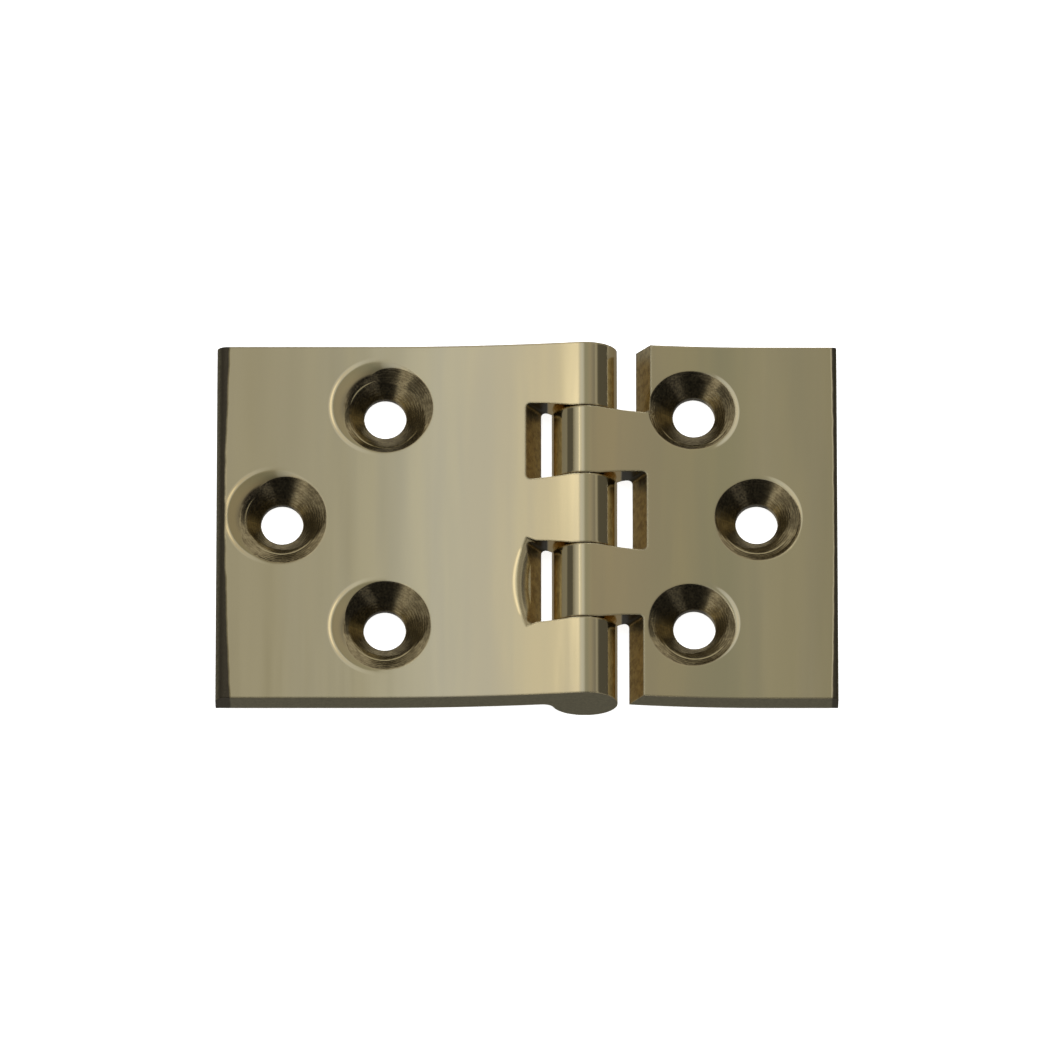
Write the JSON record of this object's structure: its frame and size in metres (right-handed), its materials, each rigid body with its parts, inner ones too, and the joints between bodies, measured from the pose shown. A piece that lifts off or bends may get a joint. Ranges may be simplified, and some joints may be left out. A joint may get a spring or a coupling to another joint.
{
  "type": "drop leaf table hinge",
  "caption": "Cast brass drop leaf table hinge: a wide and a narrow countersunk leaf with interleaved knuckles turning on a flush pin.",
  "frame": {"origin": "on the pin axis, halfway along the barrel", "axes": "+X along the narrow leaf away from the pin, +Y along the pin, +Z out of the countersunk faces, leaves open flat"},
  "size_m": [0.07, 0.0422, 0.0074],
  "materials": {
    "wide_leaf_brass": "polished cast brass",
    "narrow_leaf_brass": "polished cast brass",
    "pin_brass": "drawn brass, dressed flush"
  },
  "bodies": {
    "wide_half": {"wide_leaf": "wide_leaf_brass", "hinge_pin": "pin_brass"},
    "narrow_half": {"narrow_leaf": "narrow_leaf_brass"}
  },
  "joints": [
    {"name": "leaf_fold", "type": "hinge", "parent": "wide_half", "child": "narrow_half", "pos_m": [0, 0, 0], "axis": [0, -1, 0], "range_deg": [-165, 125]}
  ]
}
